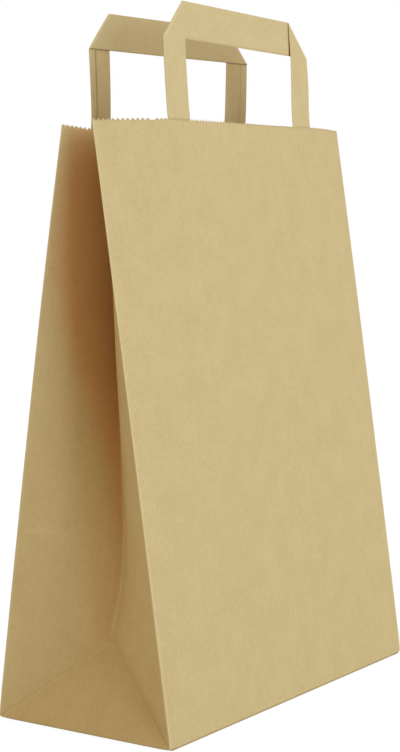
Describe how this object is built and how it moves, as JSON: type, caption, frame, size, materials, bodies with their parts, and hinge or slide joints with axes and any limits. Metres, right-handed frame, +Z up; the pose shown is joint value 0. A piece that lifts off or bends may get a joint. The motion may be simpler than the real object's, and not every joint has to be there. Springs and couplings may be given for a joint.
{
  "type": "kraft paper carrier bag",
  "caption": "Brown kraft paper carrier bag with a block bottom, tucked side gussets, a toothed cut edge and flat folded paper handles glued inside the mouth.",
  "frame": {"origin": "middle of the base, on the surface the bag stands on", "axes": "+Z up, -Y towards the front panel, +X along the bag's width to the right as seen from the front"},
  "size_m": [0.22, 0.1, 0.3386],
  "materials": {
    "kraft_sheet": "uncoated brown kraft, faint machine streaks, matt",
    "handle_tape": "uncoated brown kraft tape, folded in layers, matt",
    "patch_paper": "uncoated brown kraft, matt"
  },
  "bodies": {
    "root": {"bag_body": "kraft_sheet", "front_handle": "handle_tape", "rear_handle": "handle_tape", "front_handle_patch": "patch_paper", "rear_handle_patch": "patch_paper"}
  },
  "joints": []
}
